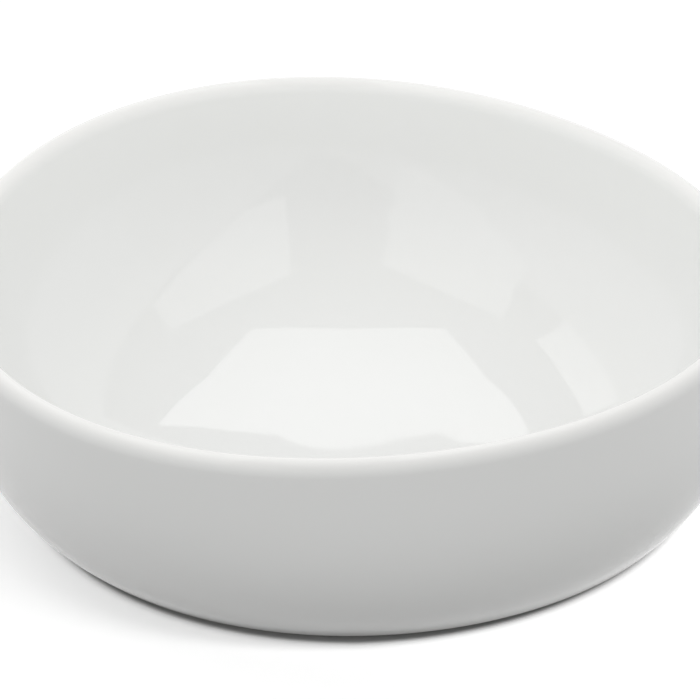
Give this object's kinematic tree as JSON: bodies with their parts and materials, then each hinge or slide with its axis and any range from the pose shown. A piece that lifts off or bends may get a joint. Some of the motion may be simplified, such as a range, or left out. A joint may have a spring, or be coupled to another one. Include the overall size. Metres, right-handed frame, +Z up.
{
  "type": "triangular bowl",
  "caption": "Low white porcelain bowl with a near-round base, a steep wall and a softly triangular, rounded rim, standing on a low unglazed ring.",
  "frame": {"origin": "on the surface the bowl stands on, under the middle of the rim's outline", "axes": "+Z up; +Y towards the rim's tip, the corner on the bowl's longest line; +X to the right of it"},
  "size_m": [0.1588, 0.1626, 0.046],
  "materials": {
    "porcelain": "fired white porcelain under the glaze",
    "white_glaze": "clear gloss glaze over white porcelain",
    "bare_porcelain": "unglazed, ground smooth, slightly grey from use",
    "base_glaze": "clear gloss glaze over white porcelain"
  },
  "bodies": {
    "root": {"bowl_body": "porcelain", "glaze_coat": "white_glaze", "foot_ring": "bare_porcelain", "base_glaze": "base_glaze"}
  },
  "joints": []
}
